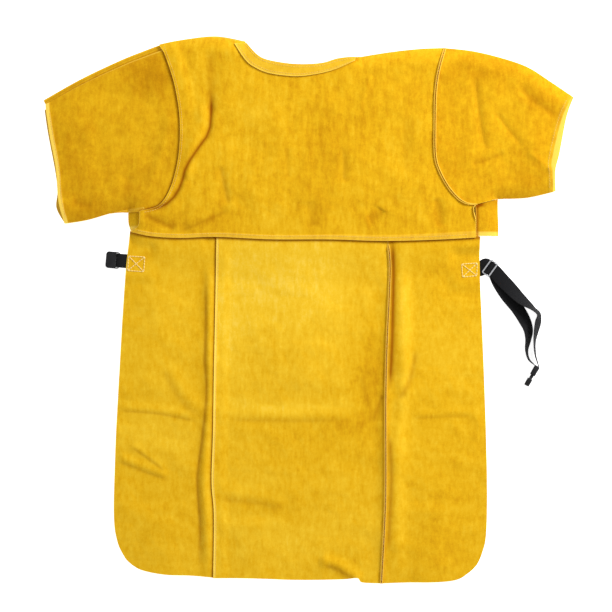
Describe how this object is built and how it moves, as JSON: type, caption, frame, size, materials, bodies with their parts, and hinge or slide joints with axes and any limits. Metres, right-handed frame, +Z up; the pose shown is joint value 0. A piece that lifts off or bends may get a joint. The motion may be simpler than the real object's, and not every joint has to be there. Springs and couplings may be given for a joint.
{
  "type": "sleeved welding apron",
  "caption": "Split-hide welding apron with a short-sleeved chest yoke over a long panelled front skirt, and a webbing waist strap with slider and side-release buckle.",
  "frame": {"origin": "on the surface it lies on, under the middle of its overall box", "axes": "+Z up out of the front of the apron, +Y towards the neck, +X towards the wearer's left sleeve, which is on the right of the picture"},
  "size_m": [0.9558, 0.9864, 0.0321],
  "materials": {
    "suede": "napped golden-yellow split hide, mottled, paler at cut edges",
    "webbing": "black woven webbing, matt",
    "buckle_plastic": "black moulded plastic, satin",
    "slider_metal": "plated steel with worn bright edges"
  },
  "bodies": {
    "root": {"yoke_front": "suede", "neck_band": "suede", "yoke_back_left": "suede", "yoke_back_right": "suede", "sleeve_front_left": "suede", "sleeve_back_left": "suede", "sleeve_front_right": "suede", "sleeve_back_right": "suede", "skirt_left": "suede", "skirt_centre": "suede", "skirt_right": "suede", "back_closure": "webbing", "strap_left": "webbing", "strap_right": "webbing", "buckle_socket": "buckle_plastic", "buckle_plug": "buckle_plastic", "slider": "slider_metal"}
  },
  "joints": []
}
